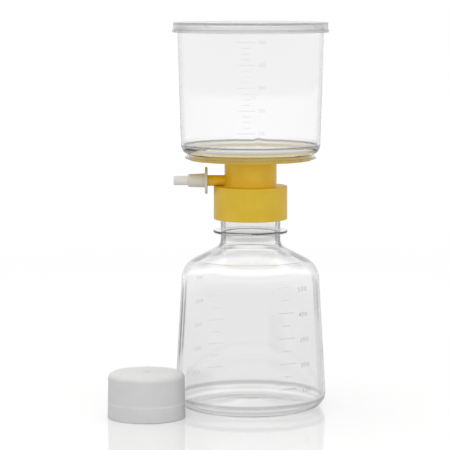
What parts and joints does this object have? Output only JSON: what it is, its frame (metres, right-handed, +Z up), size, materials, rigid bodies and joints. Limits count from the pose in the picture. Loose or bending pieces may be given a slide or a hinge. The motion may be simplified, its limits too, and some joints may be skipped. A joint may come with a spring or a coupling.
{
  "type": "vacuum filtration unit",
  "caption": "Clear funnel with lid on a yellow screw-on filter base with a hose arm, over a clear graduated receiver bottle; the bottle's white cap stands beside it.",
  "frame": {"origin": "on the bottle's axis, in the plane of the table that its foot stands on", "axes": "+Z up along the bottle's axis; -Y is the front; the hose arm points to -X, and the cap stands to the front left"},
  "size_m": [0.1423, 0.1138, 0.2506],
  "materials": {
    "clear_plastic": "glass-clear moulded polystyrene",
    "yellow_plastic": "satin moulded plastic",
    "white_plastic": "soft satin polyethylene",
    "milky_plastic": "translucent soft polyethylene",
    "soft_seal": "soft elastomer",
    "membrane": "fine porous film",
    "cotton": "loose fibre wad"
  },
  "bodies": {
    "bottle": {"receiver_bottle": "clear_plastic", "bottle_cap": "white_plastic"},
    "gasket": {"neck_gasket": "soft_seal"},
    "filter_top": {"filter_base": "yellow_plastic", "arm_plug": "cotton", "filter_membrane": "membrane", "funnel": "clear_plastic"},
    "adapter": {"hose_adapter": "milky_plastic"},
    "lid": {"funnel_lid": "clear_plastic"}
  },
  "joints": [
    {"name": "top_rise", "type": "slide", "parent": "bottle", "child": "gasket", "axis": [0, 0, 1], "range_m": [0, 0.0053]},
    {"name": "top_unscrew", "type": "hinge", "parent": "gasket", "child": "filter_top", "pos_m": [0, 0, 0.1405], "axis": [0, 0, 1], "range_deg": [0, 450]},
    {"name": "lid_lift", "type": "slide", "parent": "filter_top", "child": "lid", "axis": [0, 0, 1], "range_m": [0, 0.04]},
    {"name": "adapter_pull", "type": "slide", "parent": "filter_top", "child": "adapter", "axis": [-1, 0, 0], "range_m": [0, 0.012]}
  ],
  "couplings": [
    {"joint": "top_rise", "follows": "top_unscrew", "m_per_rad": 0.00066845}
  ]
}
